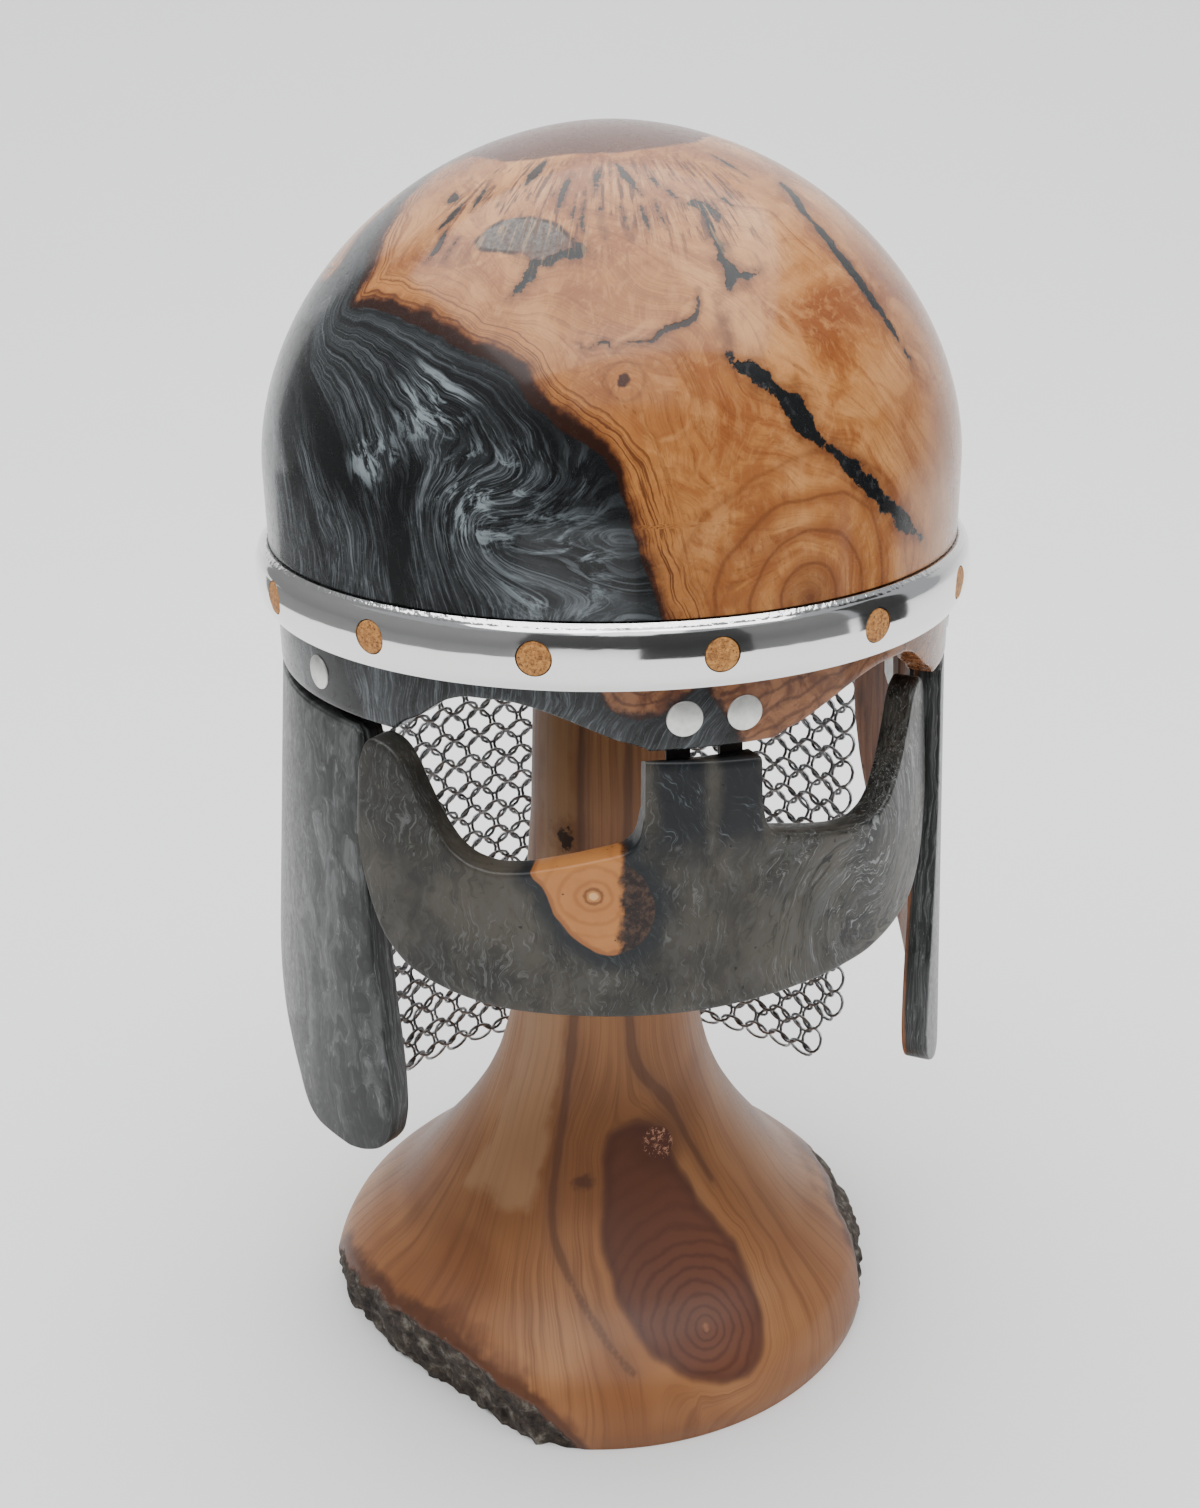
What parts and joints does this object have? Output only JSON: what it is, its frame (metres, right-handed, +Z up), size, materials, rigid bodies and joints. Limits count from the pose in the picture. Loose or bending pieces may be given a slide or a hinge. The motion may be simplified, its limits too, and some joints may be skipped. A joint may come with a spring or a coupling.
{
  "type": "helmet on stand",
  "caption": "Open-faced gladiator helmet with a domed shell, metal band, face guard, hanging cheek guards and a mail curtain, carried on a flared wooden post.",
  "frame": {"origin": "on the floor under the helmet's upright axis, on the flat underside of the stand", "axes": "the helmet faces -Y, +X is the wearer's left, +Z is up"},
  "size_m": [0.2415, 0.2366, 0.429],
  "materials": {
    "burl_resin": "gloss",
    "band_metal": "mirror polish",
    "cork": "speckled, matte",
    "face_resin": "satin cast resin with pearl swirls and a wood insert",
    "cheek_resin_right": "satin cast resin with pearl streaks",
    "cheek_resin_left": "satin cast resin over a wood inner face",
    "leather": "smooth, dark",
    "disc_metal": "satin",
    "mail_steel": "dull steel wire",
    "stand_wood": "satin oiled"
  },
  "bodies": {
    "root": {"helmet_shell": "burl_resin", "band": "band_metal", "inlay_01": "cork", "inlay_02": "cork", "inlay_03": "cork", "inlay_04": "cork", "inlay_05": "cork", "inlay_06": "cork", "inlay_07": "cork", "inlay_08": "cork", "inlay_09": "cork", "inlay_10": "cork", "inlay_11": "cork", "inlay_12": "cork", "inlay_13": "cork", "inlay_14": "cork", "face_guard": "face_resin", "cheek_guard_right": "cheek_resin_right", "nasal_strap_right": "leather", "cheek_strap_right": "leather", "cheek_bar_right": "disc_metal", "cheek_guard_left": "cheek_resin_left", "nasal_strap_left": "leather", "cheek_strap_left": "leather", "cheek_bar_left": "disc_metal", "nasal_rivet_right": "disc_metal", "nasal_rivet_left": "disc_metal", "cheek_rivet_right": "disc_metal", "cheek_rivet_left": "disc_metal", "mail": "mail_steel", "stand": "stand_wood"}
  },
  "joints": []
}
